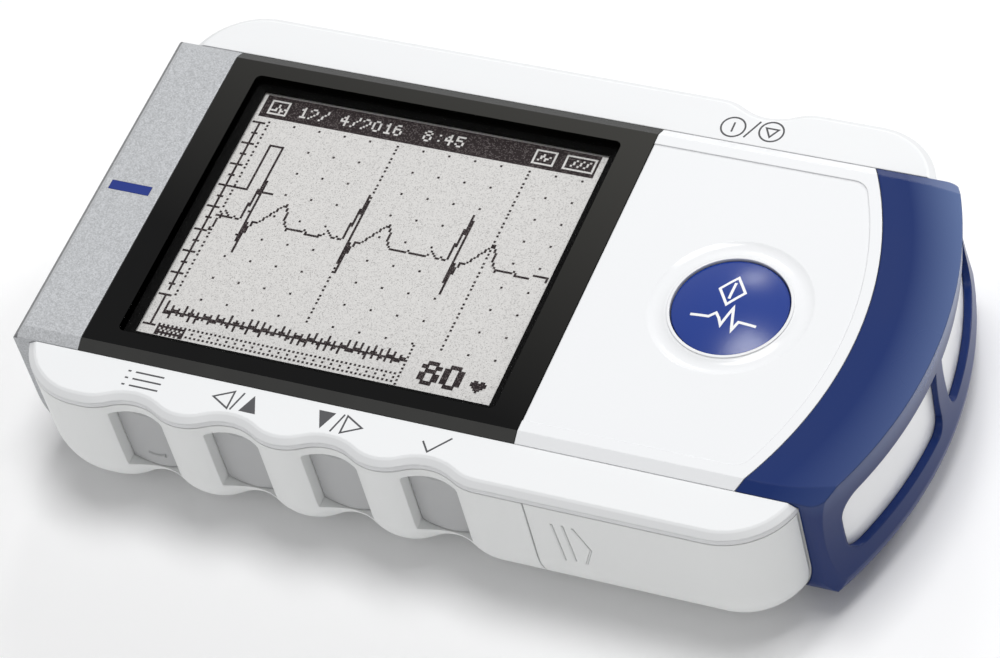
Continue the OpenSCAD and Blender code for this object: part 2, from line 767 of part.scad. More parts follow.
module grip_frame() {
    color("midnightblue") difference() {
        union() {
            intersection() {
                translate([rim_cx, 0, 0]) rotate_extrude($fn = 360) grip_half_section();
                linear_extrude(big) grip_plan();
                along_x(0, big) union() {
                    translate([-foot_half, grip_floor + bilge_r]) square([2 * foot_half, rail_z - grip_floor - bilge_r]);
                    translate([-foot_half + bilge_r, grip_floor]) square([2 * (foot_half - bilge_r), 5]);
                    for (s = [-1, 1]) translate([s * (foot_half - bilge_r), grip_floor + bilge_r]) circle(bilge_r);
                    slope = deck_slope / deck_step;
                    top = 1.2;
                    polygon([
                        [-foot_half, rail_z - 1], [foot_half, rail_z - 1], [foot_half, rail_z],
                        [foot_half - slope * (deck_step + top), deck_z + top],
                        [-foot_half + slope * (deck_step + top), deck_z + top], [-foot_half, rail_z]
                    ]);
                }
            }
            for (y = [-lug_y, lug_y]) {
                box([case_x1 - wall + 0.1, y - lug_w / 2, lug_z], [case_x1 + 2, y + lug_w / 2, lug_z + lug_t]);
            }
        }
        // only the band of the deck reaches over the case; the floor follows the round end of the case
        difference() {
            union() {
                box([-big, -big, -1], [case_x1 - 3.4, big, face_z]);
                case_body(-seam, face_z);
            }
            for (y = [-lug_y, lug_y]) {
                box([case_x1 - wall, y - lug_w / 2, lug_z], [case_x1 + 2, y + lug_w / 2, lug_z + lug_t]);
            }
        }
        // hollow behind the end wall
        difference() {
            intersection() {
                translate([rim_cx, 0, grip_floor + grip_wall]) cylinder(h = face_z - grip_floor - grip_wall, r = electrode_r - 1.2, $fn = 360);
                box([case_x1 + seam - eps, -foot_half + 2, 0], [big, foot_half - 2, big]);
            }
            for (y = [-lug_y, lug_y]) {
                box([case_x1 - wall, y - lug_w / 2, lug_z], [case_x1 + 2, y + lug_w / 2, lug_z + lug_t]);
            }
        }
        // pockets for the electrodes and the openings in front of them
        intersection() {
            translate([rim_cx, 0, opening_z - 1]) cylinder(h = opening_h + 2, r = electrode_r + 0.05, $fn = 360);
            box([case_x1 + 1, -foot_half + 2, 0], [big, foot_half - 2, big]);
        }
        for (s = [-1, 1]) scale([1, s, 1]) along_x(case_x1 + 1, big) grip_opening();
    }
}

electrode_r = rim_r - waist - 0.8;
electrode_t = 0.9;

module finger_electrode(s) {
    color("gainsboro") scale([1, s, 1]) intersection() {
        translate([rim_cx, 0, opening_z - 0.9]) difference() {
            cylinder(h = opening_h + 1.8, r = electrode_r, $fn = 360);
            translate([0, 0, -1]) cylinder(h = opening_h + 4, r = electrode_r - electrode_t, $fn = 360);
        }
        box([case_x1 + 1, 0.3, 0], [big, foot_half - 2.1, big]);
    }
}

module finger_electrode_front() {
    finger_electrode(-1);
}

module finger_electrode_rear() {
    finger_electrode(1);
}

module finger_contact(y) {
    r = electrode_r - electrode_t - 0.1;
    x1 = rim_cx + sqrt(r * r - (abs(y) + 2) * (abs(y) + 2));
    color("goldenrod") union() {
        box([bay_x1 - 2, y - 2, board_z], [x1, y + 2, board_z + contact_t]);
        box([x1 - contact_t, y - 2, board_z], [x1, y + 2, board_z + 2.4]);
    }
}

module finger_contact_front() {
    finger_contact(-finger_y);
}

module finger_contact_rear() {
    finger_contact(finger_y);
}

// ---------- deck ----------

module display_window() {
    color("black") along_x(bar_x1 + seam / 2, window_x1 - seam / 2) deck_section(face_z);
}

module window_tape() {
    color("black") translate([0, 0, seat_z]) linear_extrude(tape_t) difference() {
        translate([bar_x1 + 0.3, -foot_half + 0.3]) square([window_l - 0.6, 2 * foot_half - 0.6]);
        translate([screen_x - view_l / 2, -view_w / 2]) square([view_l, view_w]);
    }
}

module panel_plan(g) {
    intersection() {
        translate([band_cx, 0]) circle(band_r - seam / 2 - g, $fn = 360);
        translate([window_x1 + seam / 2 + g, -foot_half + g]) square([big, 2 * foot_half - 2 * g]);
    }
}

panel_border = 1.6;
panel_sink = 0.15;
ring_w = 0.5;

module start_panel() {
    ring = start_d / 2 + ring_w + dish_w / 2;
    half = dish_w / 2;
    r = (half * half + dish_depth * dish_depth) / (2 * dish_depth);
    color("white") difference() {
        intersection() {
            linear_extrude(big) panel_plan(0);
            along_x(0, big) deck_section(face_z);
        }
        translate([start_x, 0, face_z - 1]) cylinder(h = face_t + 2, r = start_d / 2 + slide / 2);
        translate([start_x, 0, 0]) rotate_extrude() translate([ring, deck_z - dish_depth + r]) circle(r);
        translate([0, 0, deck_z - panel_sink]) linear_extrude(1) difference() {
            intersection() {
                translate([band_cx, 0]) circle(band_r - panel_border, $fn = 360);
                translate([0, panel_border - deck_half]) square([big, 2 * (deck_half - panel_border)]);
            }
            arc_corners(band_cx, band_r - panel_border, deck_half - panel_border, 2.5);
            translate([start_x, 0]) circle(start_d / 2 + ring_w);
        }
    }
}

module panel_tape() {
    color("dimgray") translate([0, 0, seat_z]) linear_extrude(tape_t) difference() {
        panel_plan(0.4);
        translate([start_x, 0]) circle(start_flange_r + 1.2);
    }
}

// ---------- buttons ----------

module start_button() {
    r = start_d / 2 - slide / 2;
    rise = overall_h - start_base_z;
    dome_r = (r * r + rise * rise) / (2 * rise);
    color("royalblue") union() {
        translate([start_x, 0, 0]) rotate_extrude() union() {
            intersection() {
                translate([0, overall_h - dome_r]) circle(dome_r, $fn = 360);
                translate([0, start_flange_top - 0.1]) square([r, big]);
            }
            translate([0, start_flange_top - start_flange_t]) square([start_flange_r, start_flange_t]);
            translate([0, start_plunger_top]) square([2, start_flange_top - start_plunger_top]);
        }
    }
}

module start_plunger() {
    color("ivory") translate([start_x, 0, start_plunger_top - plunger_l]) cylinder(h = plunger_l, r = start_plunger_r);
}

module start_switch() {
    color("dimgray") difference() {
        translate([start_x - 3, -3, board_z]) cube([6, 6, start_switch_h]);
        translate([start_x, 0, start_plunger_top - plunger_l - key_travel - 0.1]) cylinder(h = 5, r = start_plunger_r + plunger_gap);
    }
}

// a side key: its face has a nail scoop along the top
module side_key(x) {
    w = key_w / 2 + flange_over;
    h = key_h / 2 + flange_over;
    face = trough_y - key_recess;
    color("darkgray") difference() {
        union() {
            translate([x, 0, 0]) along_y(-face, -flange_y + 0.1) key_outline(slide / 2);
            box([x - w, -flange_y, max(key_z - h, bottom_r - 1)], [x + w, -flange_y + flange_t, key_z + h]);
            translate([x, -plunger_y, key_z]) rotate([90, 0, 0]) cylinder(h = flange_y - plunger_y, r = 1.6);
        }
        translate([x, -face - scoop_off, key_z + key_h / 2 + 2.6]) sphere(scoop_r);
    }
}

module side_plunger(x) {
    color("ivory") translate([x, -plunger_y + plunger_l, key_z]) rotate([90, 0, 0]) cylinder(h = plunger_l, r = plunger_r);
}

module side_switch(x) {
    y = key_board_y + key_board_t;
    color("dimgray") difference() {
        box([x - switch_w / 2, -y - switch_d, key_z - switch_w / 2], [x + switch_w / 2, -y, key_z + switch_w / 2]);
        translate([x, -plunger_y + plunger_l + key_travel + 0.1, key_z]) rotate([90, 0, 0]) cylinder(h = 5, r = plunger_r + plunger_gap);
    }
}

scoop_r = 7;
scoop_off = 5.7;

// the first key also carries a small ridge to be felt
module menu_key() {
    face = trough_y - key_recess;
    ridge_r = 2.2;
    z = key_z - key_h / 2 + 2.2 + ridge_r;
    color("darkgray") union() {
        side_key(key_x[0]);
        intersection() {
            translate([key_x[0], -face + 0.05, z]) rotate([90, 0, 0]) rotate_extrude() translate([ridge_r, 0]) circle(0.3);
            box([key_x[0] - 1.2, -face - 1, z - 3], [key_x[0] + 1.2, -face + 0.2, z - 1]);
        }
    }
}

module left_key() {
    side_key(key_x[1]);
}

module right_key() {
    side_key(key_x[2]);
}

module ok_key() {
    side_key(key_x[3]);
}

module power_key() {
    mirror([0, 1, 0]) side_key(power_x);
}

module menu_plunger() {
    side_plunger(key_x[0]);
}

module left_plunger() {
    side_plunger(key_x[1]);
}

module right_plunger() {
    side_plunger(key_x[2]);
}

module ok_plunger() {
    side_plunger(key_x[3]);
}

module power_plunger() {
    mirror([0, 1, 0]) side_plunger(power_x);
}

module side_switches() {
    for (x = key_x) side_switch(x);
}

module power_switch() {
    mirror([0, 1, 0]) side_switch(power_x);
}

// ---------- boards and screen ----------

module side_key_board() {
    y = key_board_y;
    z0 = key_z - key_h / 2 - 1.6;
    color("seagreen") union() {
        box([key_x[0] - 5.2, -y - key_board_t, z0], [key_x[3] + 5.2, -y, skirt_z - 0.6]);
        box([screen_x - 6, -y - 0.1, board_z - board_t - 1.5], [screen_x + 6, -board_half + 1.4, board_z - board_t]);
    }
}

module power_key_board() {
    y = key_board_y;
    z0 = key_z - key_h / 2 - 1.6;
    color("seagreen") union() {
        box([power_x - 6, y, z0], [power_x + 6, y + key_board_t, skirt_z - 0.6]);
        box([power_x - 4, board_half - 1.4, board_z], [power_x + 4, y + 0.1, board_z + 1.5]);
    }
}

module main_board() {
    top = board_z;
    color("seagreen") difference() {
        union() {
            box([screen_x - lcd_l / 2 - 2.4, -board_half, top - board_t], [bay_x1 + 1, board_half, top]);
            // processor and connector of the screen strip on the lower side
            box([screen_x - 6, -6, top - board_t - 1.2], [screen_x + 6, 6, top - board_t + eps]);
            box([screen_x - 11, board_half - 3.2, top - board_t - 1.4], [screen_x + 11, board_half - 1.2, top - board_t + eps]);
        }
        for (p = screw_xy) translate([p[0], p[1], 0]) cylinder(h = big, r = boss_r + 0.4);
    }
}

module beeper() {
    color("dimgray") translate([window_x1 + 7.5, -14, board_z]) difference() {
        cylinder(h = 2.6, r = 4.5);
        translate([0, 0, 1.6]) cylinder(h = 2, r = 0.8);
    }
}

module lcd_glass() {
    ledge = 2.6;
    color("darkseagreen") union() {
        box([screen_x - lcd_l / 2, -lcd_w / 2, lcd_z], [screen_x + lcd_l / 2, lcd_w / 2, lcd_z + lcd_t / 2]);
        box([screen_x - lcd_l / 2, -lcd_w / 2, lcd_z], [screen_x + lcd_l / 2, lcd_w / 2 - ledge + 1.2, lcd_z + lcd_t]);
    }
}

module lcd_holder() {
    rim = 2;
    x = lcd_l / 2 + 0.2;
    y = lcd_w / 2;
    color("dimgray") difference() {
        box([screen_x - x, -y, board_z], [screen_x + x, y, lcd_z]);
        box([screen_x - x + rim, -y + rim, board_z - 1], [screen_x + x - rim, y - rim, lcd_z + 1]);
    }
}

module lcd_backing() {
    x = lcd_l / 2 + 0.2 - 2 - seam;
    y = lcd_w / 2 - 2 - seam;
    color("white") box([screen_x - x, -y, lcd_z - 1.3], [screen_x + x, y, lcd_z - 0.1]);
}

module lcd_flex() {
    t = 0.2;
    y0 = lcd_w / 2 - 1.1;
    y1 = flex_y;
    z1 = lcd_z + lcd_t / 2;
    z0 = board_z - board_t - 2;
    color("orange") along_x(screen_x - 10, screen_x + 10)
        polygon([
            [y0, z1], [y1 - t, z1], [y1 - t, z0 + t], [board_half - 3, z0 + t], [board_half - 3, z0],
            [y1, z0], [y1, z1 + t], [y0, z1 + t]
        ]);
}

// ---------- power ----------

module cell(x, flip) {
    nub = 0.8;
    y = cell_y0 + (flip ? spring_l : 0);
    color(flip ? "darkorange" : "goldenrod") translate([x, y, cell_z]) rotate([-90, 0, 0]) union() {
        translate([0, 0, flip ? 0 : nub]) cylinder(h = cell_l - nub, r = cell_d / 2);
        translate([0, 0, flip ? cell_l - nub - eps : 0]) cylinder(h = nub + eps, r = 1.9);
    }
}

module cell_left() {
    cell(cell_x[0], false);
}

module cell_right() {
    cell(cell_x[1], true);
}

// conical contact springs, one at each cell's flat end
module cell_springs() {
    turns = 5;
    wire_r = 0.35;
    pitch = (spring_l - 2 * wire_r) / turns;
    color("lightsteelblue") for (i = [0, 1]) {
        translate([cell_x[i], i == 0 ? bay_y1 : bay_y0, cell_z]) rotate([i == 0 ? 90 : -90, 0, 0]) rotate_extrude() union() {
            square([3.6, contact_t]);
            for (k = [0:turns]) translate([3 - 0.2 * k, contact_t + wire_r - 0.05 + pitch * k]) circle(wire_r, $fn = 32);
        }
    }
}

module cell_plates() {
    color("lightsteelblue") for (i = [0, 1]) {
        y = i == 0 ? bay_y0 : bay_y1 - contact_t;
        box([cell_x[i] - 3.5, y, cell_z - 4], [cell_x[i] + 3.5, y + contact_t, cell_z + 4]);
    }
}

module case_screws() {
    color("slategray") for (i = [0:5]) {
        translate([screw_xy[i][0], screw_xy[i][1], screw_z[i]]) difference() {
            union() {
                translate([0, 0, -screw_head_h]) cylinder(h = screw_head_h, r = screw_head_r);
                translate([0, 0, -0.1]) cylinder(h = 10, r = screw_r);
            }
            translate([0, 0, -screw_head_h - 0.1]) cylinder(h = 0.8, r = 0.9, $fn = 6);
        }
    }
}

top_cover();
rear_cover();
battery_cover();
end_cap();
line_inlay();
grip_frame();
display_window();
window_tape();
start_panel();
panel_tape();
start_button();
start_plunger();
start_switch();
menu_key();
left_key();
right_key();
ok_key();
power_key();
menu_plunger();
left_plunger();
right_plunger();
ok_plunger();
power_plunger();
side_switches();
power_switch();
side_key_board();
power_key_board();
lcd_glass();
lcd_holder();
lcd_backing();
lcd_flex();
main_board();
beeper();
cell_left();
cell_right();
cell_springs();
cell_plates();
chest_electrode();
electrode_nut();
chest_contact();
finger_electrode_front();
finger_electrode_rear();
finger_contact_front();
finger_contact_rear();
case_screws();
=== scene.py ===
import math
import random

import bmesh
import bpy
from mathutils import Matrix, Vector


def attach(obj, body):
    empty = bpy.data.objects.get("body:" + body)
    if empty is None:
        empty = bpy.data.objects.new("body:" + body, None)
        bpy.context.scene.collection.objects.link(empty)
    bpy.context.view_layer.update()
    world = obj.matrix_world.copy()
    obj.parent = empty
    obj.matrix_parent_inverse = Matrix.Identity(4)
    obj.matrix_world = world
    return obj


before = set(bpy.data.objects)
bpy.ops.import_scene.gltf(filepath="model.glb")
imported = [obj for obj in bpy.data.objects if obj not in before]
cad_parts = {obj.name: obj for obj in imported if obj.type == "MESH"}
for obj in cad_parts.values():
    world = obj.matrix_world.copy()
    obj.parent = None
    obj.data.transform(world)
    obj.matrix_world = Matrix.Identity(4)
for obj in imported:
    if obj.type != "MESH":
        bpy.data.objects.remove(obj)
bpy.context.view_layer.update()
mm = 0.001
print("parts loaded:", len(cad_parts))


# camera and studio

cameraLook = {
    "azimuth": 35.02,
    "elevation": 49.69,
    "roll": -16.56,
    "target": (0.09, -2.34, 11.77),
    "distance": 550.0,
    "lens": 153.19,
}


def placeCamera():
    a = math.radians(cameraLook["azimuth"])
    e = math.radians(cameraLook["elevation"])
    r = math.radians(cameraLook["roll"])
    back = Vector((math.sin(a) * math.cos(e), -math.cos(a) * math.cos(e), math.sin(e)))
    side = Vector((0, 0, 1)).cross(back).normalized()
    top = back.cross(side)
    across = side * math.cos(r) + top * math.sin(r)
    up = top * math.cos(r) - side * math.sin(r)
    data = bpy.data.cameras.new("camera")
    data.sensor_width = 36
    data.lens = cameraLook["lens"]
    data.clip_start = 0.01
    data.clip_end = 20
    camera = bpy.data.objects.new("camera", data)
    bpy.context.scene.collection.objects.link(camera)
    turn = Matrix((across, up, back)).transposed().to_4x4()
    spot = (Vector(cameraLook["target"]) + back * cameraLook["distance"]) * mm
    camera.matrix_world = Matrix.Translation(spot) @ turn
    bpy.context.scene.camera = camera


studioLook = {
    "sky": 0.34,
    "lights": {
        "overhead": {"from": (0.06, 0.15, 1.0), "distance": 1.15, "size": (0.5, 0.36), "power": 7.2},
        "backRight": {"from": (0.38, 0.76, 0.50), "distance": 0.9, "size": (0.16, 0.16), "power": 2.0},
        "backMiddle": {"from": (-0.20, 0.78, 0.58), "distance": 0.9, "size": (0.12, 0.12), "power": 0.6},
        "frontFill": {"from": (-0.3, -1.0, 0.25), "distance": 1.2, "size": (1.2, 0.4), "power": 1.9},
    },
    "floorColour": (0.97, 0.97, 0.975),
    "floorSize": 3.0,
}


def addNode(tree, kind, inputs=None, **settings):
    node = tree.nodes.new("ShaderNode" + kind)
    for key, value in settings.items():
        setattr(node, key, value)
    for key, value in (inputs or {}).items():
        if isinstance(value, bpy.types.NodeSocket):
            tree.links.new(value, node.inputs[key])
        else:
            node.inputs[key].default_value = value
    return node


def calc(tree, operation, first, second=0.0, third=0.0):
    return addNode(tree, "Math", {0: first, 1: second, 2: third}, operation=operation).outputs[0]


def mixColour(tree, factor, first, second):
    ends = {0: factor, 6: first, 7: second}
    return addNode(tree, "Mix", ends, data_type="RGBA").outputs[2]


def remap(tree, value, low, high, newLow, newHigh):
    ends = {0: value, 1: low, 2: high, 3: newLow, 4: newHigh}
    return addNode(tree, "MapRange", ends).outputs[0]


def noise(tree, place, scale, detail=2.0):
    return addNode(tree, "TexNoise", {"Vector": place, "Scale": scale, "Detail": detail}).outputs[0]


def opaque(colour):
    return (colour[0], colour[1], colour[2], 1.0)


def shade(colour, amount):
    return opaque([min(1.0, c * amount) for c in colour])


def seenDirectly(tree):
    rays = addNode(tree, "LightPath").outputs
    glossy = calc(tree, "MAXIMUM", rays["Is Camera Ray"], rays["Is Glossy Ray"])
    return calc(tree, "MAXIMUM", glossy, rays["Is Transmission Ray"])


def buildStudio():
    scene = bpy.context.scene
    scene.view_settings.view_transform = "Standard"
    world = bpy.data.worlds.new("studio")
    scene.world = world
    world.use_nodes = True
    tree = world.node_tree
    strength = remap(tree, seenDirectly(tree), 0.0, 1.0, studioLook["sky"], 1.0)
    sky = tree.nodes["Background"]
    sky.inputs["Color"].default_value = (1, 1, 1, 1)
    tree.links.new(strength, sky.inputs["Strength"])

    for name, look in studioLook["lights"].items():
        data = bpy.data.lights.new(name, "AREA")
        data.shape = "RECTANGLE"
        data.size, data.size_y = look["size"]
        data.energy = look["power"]
        light = bpy.data.objects.new(name, data)
        scene.collection.objects.link(light)
        toward = Vector(look["from"]).normalized()
        light.location = toward * look["distance"]
        light.rotation_mode = "QUATERNION"
        light.rotation_quaternion = toward.to_track_quat("Z", "Y")

    half = studioLook["floorSize"]
    mesh = bpy.data.meshes.new("floor")
    corners = [(-half, -half, -5e-5), (half, -half, -5e-5), (half, half, -5e-5), (-half, half, -5e-5)]
    mesh.from_pydata(corners, [], [(0, 1, 2, 3)])
    floor = bpy.data.objects.new("floor", mesh)
    scene.collection.objects.link(floor)
    mat = bpy.data.materials.new("floorPaper")
    mat.use_nodes = True
    tree = mat.node_tree
    shader = tree.nodes["Principled BSDF"]
    place = addNode(tree, "TexCoord").outputs["Object"]
    mottle = noise(tree, place, 2.0)
    floorColour = studioLook["floorColour"]
    tint = mixColour(tree, mottle, opaque(floorColour), shade(floorColour, 0.985))
    tree.links.new(tint, shader.inputs["Base Color"])
    shader.inputs["Roughness"].default_value = 0.9
    shader.inputs["Specular IOR Level"].default_value = 0.0
    mesh.materials.append(mat)


placeCamera()
buildStudio()
print("camera and studio ready")


# finishes

def startMaterial(name):
    mat = bpy.data.materials.new(name)
    mat.use_nodes = True
    tree = mat.node_tree
    return mat, tree, tree.nodes["Principled BSDF"]


def softEdge(tree, radius):
    return addNode(tree, "Bevel", {"Radius": radius * mm}, samples=6).outputs[0]


def paintedSheenMask(tree, place, look):
    # painted highlight: 0 near the panel, rising to 1 over the outer half of the curved top, more on the far
    # side
    x, y, z = addNode(tree, "SeparateXYZ", {"Vector": place}).outputs
    out = calc(tree, "SUBTRACT", x, look["sheenCentre"] * mm)
    radius = calc(tree, "SQRT", calc(tree, "MULTIPLY_ADD", out, out, calc(tree, "MULTIPLY", y, y)))
    inner, outer = look["sheenAcross"]
    near, far = look["sheenAlong"]
    foot, top = look["sheenHeight"]
    across = remap(tree, radius, inner * mm, outer * mm, 0.0, 1.0)
    along = remap(tree, y, near * mm, far * mm, look["sheenLeast"], 1.0)
    height = remap(tree, z, foot * mm, top * mm, 0.0, 1.0)
    return calc(tree, "MULTIPLY", calc(tree, "MULTIPLY", across, along), height)


plasticLook = {
    "patchScale": 45.0,
    "roughSpan": 0.04,
    "bumpStrength": 0.25,
    "bandBlur": 0.1,
    "coatRough": 0.12,
}


def mouldedPlastic(name, look):
    # look: colour, fade, rough, grain (per metre), relief and edge (mm), spec, coat, speck, band (painted
    # shade on the bevel below a height), sheen (painted highlight)
    mat, tree, shader = startMaterial(name)
    place = addNode(tree, "TexCoord").outputs["Object"]
    broad = noise(tree, place, plasticLook["patchScale"], 3.0)
    fine = noise(tree, place, look["grain"], 2.0)
    tone = remap(tree, broad, 0.3, 0.7, 0.0, 1.0)
    colour = look["colour"]
    base = mixColour(tree, tone, opaque(colour), shade(colour, look["fade"]))
    speck = remap(tree, fine, 0.35, 0.65, 0.0, look.get("speck", 0.0))
    base = mixColour(tree, speck, base, shade(colour, 0.6))
    # painted shade: the white is darkened on the bevel below the rail top
    if "bandTop" in look:
        top = look["bandTop"]
        height = addNode(tree, "SeparateXYZ", {"Vector": place}).outputs[2]
        paintedShadeMask = remap(tree, height, top * mm, (top - plasticLook["bandBlur"]) * mm, 0.0, 1.0)
        base = mixColour(tree, paintedShadeMask, base, shade(colour, look["paintedBandShade"]))
    # painted highlight: the blue is lightened over the outer half of the curved top, most towards the far
    # end
    if "paintedSheen" in look:
        base = mixColour(tree, paintedSheenMask(tree, place, look), base, opaque(look["paintedSheen"]))
    tree.links.new(base, shader.inputs["Base Color"])
    least, most = look["rough"] - plasticLook["roughSpan"], look["rough"] + plasticLook["roughSpan"]
    tree.links.new(remap(tree, broad, 0.25, 0.75, least, most), shader.inputs["Roughness"])
    bump = addNode(tree, "Bump", {
        "Height": fine, "Strength": plasticLook["bumpStrength"], "Distance": look["relief"] * mm,
        "Normal": softEdge(tree, look.get("edge", 0.2)),
    })
    tree.links.new(bump.outputs[0], shader.inputs["Normal"])
    shader.inputs["Specular IOR Level"].default_value = look.get("spec", 0.5)
    shader.inputs["Coat Weight"].default_value = look.get("coat", 0.0)
    shader.inputs["Coat Roughness"].default_value = plasticLook["coatRough"]
    return mat


def metalFinish(name, look):
    # look: colour, fade, grain (per metre), rough, relief (mm), metal
    mat, tree, shader = startMaterial(name)
    place = addNode(tree, "TexCoord").outputs["Object"]
    lines = noise(tree, place, look["grain"], 3.0)
    broad = noise(tree, place, 120.0, 2.0)
    colour = look["colour"]
    base = mixColour(tree, broad, opaque(colour), shade(colour, look.get("fade", 0.9)))
    tree.links.new(base, shader.inputs["Base Color"])
    rough = remap(tree, lines, 0.3, 0.7, look["rough"] - 0.06, look["rough"] + 0.08)
    tree.links.new(rough, shader.inputs["Roughness"])
    bump = addNode(tree, "Bump", {
        "Height": lines, "Strength": 0.3, "Distance": look["relief"] * mm, "Normal": softEdge(tree, 0.12),
    })
    tree.links.new(bump.outputs[0], shader.inputs["Normal"])
    shader.inputs["Metallic"].default_value = look.get("metal", 1.0)
    return mat


def dress(names, mat):
    for name in names:
        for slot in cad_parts[name].material_slots:
            slot.material = mat


caseLook = {
    "white": {
        "colour": (0.84, 0.85, 0.86), "fade": 0.99, "rough": 0.38, "grain": 9000.0, "relief": 0.01,
        # painted shade on the bevel below the rail top
        "edge": 0.3, "spec": 0.3, "bandTop": 22.35, "paintedBandShade": 0.87,
    },
    "grey": {
        "colour": (0.82, 0.83, 0.825), "fade": 0.985, "rough": 0.5, "grain": 12000.0, "relief": 0.02,
        "edge": 0.3, "spec": 0.25,
    },
    "panel": {
        "colour": (0.85, 0.86, 0.875), "fade": 0.99, "rough": 0.2, "grain": 700.0, "relief": 0.004,
        "edge": 0.2, "spec": 0.35, "coat": 0.25,
    },
    "key": {
        "colour": (0.47, 0.475, 0.48), "fade": 0.97, "rough": 0.42, "grain": 14000.0, "relief": 0.02,
        "edge": 0.25, "spec": 0.3,
    },
}
dress(["top_cover"], mouldedPlastic("caseWhite", caseLook["white"]))
dress(["rear_cover", "battery_cover"], mouldedPlastic("caseGrey", caseLook["grey"]))
dress(["start_panel"], mouldedPlastic("panelWhite", caseLook["panel"]))
keyNames = ["menu", "left", "right", "ok", "power"]
dress([name + "_key" for name in keyNames], mouldedPlastic("keyGrey", caseLook["key"]))

gripLook = {
    "frame": {
        "colour": (0.001, 0.019, 0.125), "fade": 0.9, "rough": 0.29, "grain": 9000.0, "relief": 0.006,
        "edge": 0.35, "spec": 0.22,
        # painted highlight on the outer half of the blue top
        "paintedSheen": (0.10, 0.15, 0.31), "sheenCentre": 2.7, "sheenAcross": (51.5, 57.5),
        "sheenAlong": (-24.0, 22.0), "sheenLeast": 0.2, "sheenHeight": (20.0, 22.5),
    },
    "button": {
        "colour": (0.001, 0.03, 0.24), "fade": 0.95, "rough": 0.25, "grain": 4500.0, "relief": 0.02,
        "edge": 0.2, "spec": 0.4,
    },
    "inlay": {
        "colour": (0.001, 0.02, 0.2), "fade": 0.95, "rough": 0.35, "grain": 6000.0, "relief": 0.008,
        "edge": 0.15, "spec": 0.35,
    },
}
dress(["grip_frame"], mouldedPlastic("gripBlue", gripLook["frame"]))
dress(["start_button"], mouldedPlastic("buttonBlue", gripLook["button"]))
dress(["line_inlay"], mouldedPlastic("inlayBlue", gripLook["inlay"]))

barLook = {
    "colour": (0.43, 0.44, 0.455),
    "flake": 6500.0,
    "flakeDepth": 0.3,
    # painted shade along the turned edge at the end of the bar
    "stripX": -56.55,
    "stripZ": 22.3,
    "paintedEdgeShade": 0.3,
    "metal": 0.35,
    "rough": 0.42,
}


def silverPaint():
    mat, tree, shader = startMaterial("silverPaint")
    place = addNode(tree, "TexCoord").outputs["Object"]
    flake = addNode(tree, "TexVoronoi", {"Vector": place, "Scale": barLook["flake"]}).outputs["Color"]
    glint = addNode(tree, "SeparateColor", {0: flake}).outputs[0]
    soft = noise(tree, place, 3500.0, 3.0)
    level = calc(tree, "MULTIPLY_ADD", glint, 0.6, calc(tree, "MULTIPLY", soft, 0.4))
    colour = barLook["colour"]
    depth = barLook["flakeDepth"]
    base = mixColour(tree, level, shade(colour, 1 - depth), shade(colour, 1 + depth))
    # painted shade: the turned edge at the end is darkened
    parts = addNode(tree, "SeparateXYZ", {"Vector": place}).outputs
    stripX, stripZ = barLook["stripX"], barLook["stripZ"]
    beyond = remap(tree, parts[0], stripX * mm, (stripX - 0.15) * mm, 0.0, 1.0)
    above = remap(tree, parts[2], (stripZ - 0.2) * mm, stripZ * mm, 0.0, 1.0)
    strip = calc(tree, "MULTIPLY", beyond, above)
    base = mixColour(tree, strip, base, shade(colour, barLook["paintedEdgeShade"]))
    tree.links.new(base, shader.inputs["Base Color"])
    rough = remap(tree, glint, 0, 1, barLook["rough"] - 0.08, barLook["rough"] + 0.1)
    tree.links.new(rough, shader.inputs["Roughness"])
    bump = addNode(tree, "Bump", {
        "Height": level, "Strength": 0.3, "Distance": 0.02 * mm, "Normal": softEdge(tree, 0.2),
    })
    tree.links.new(bump.outputs[0], shader.inputs["Normal"])
    shader.inputs["Metallic"].default_value = barLook["metal"]
    return mat


dress(["end_cap"], silverPaint())

metalLook = {
    "steel": {
        "colour": (0.90, 0.905, 0.91), "fade": 0.98, "grain": 500.0, "rough": 0.34, "relief": 0.002,
        "metal": 0.25,
    },
    "nickel": {"colour": (0.62, 0.62, 0.63), "grain": 3000.0, "rough": 0.28, "relief": 0.008},
    "brass": {"colour": (0.66, 0.48, 0.2), "grain": 2500.0, "rough": 0.3, "relief": 0.008},
    "zinc": {"colour": (0.5, 0.5, 0.52), "grain": 4000.0, "rough": 0.3, "relief": 0.01},
}
electrodes = ["chest_electrode", "finger_electrode_front", "finger_electrode_rear"]
contacts = ["chest_contact", "finger_contact_front", "finger_contact_rear", "electrode_nut"]
dress(electrodes, metalFinish("electrodeSteel", metalLook["steel"]))
dress(["cell_springs", "cell_plates"], metalFinish("contactNickel", metalLook["nickel"]))
dress(contacts, metalFinish("contactBrass", metalLook["brass"]))
dress(["case_screws"], metalFinish("screwZinc", metalLook["zinc"]))

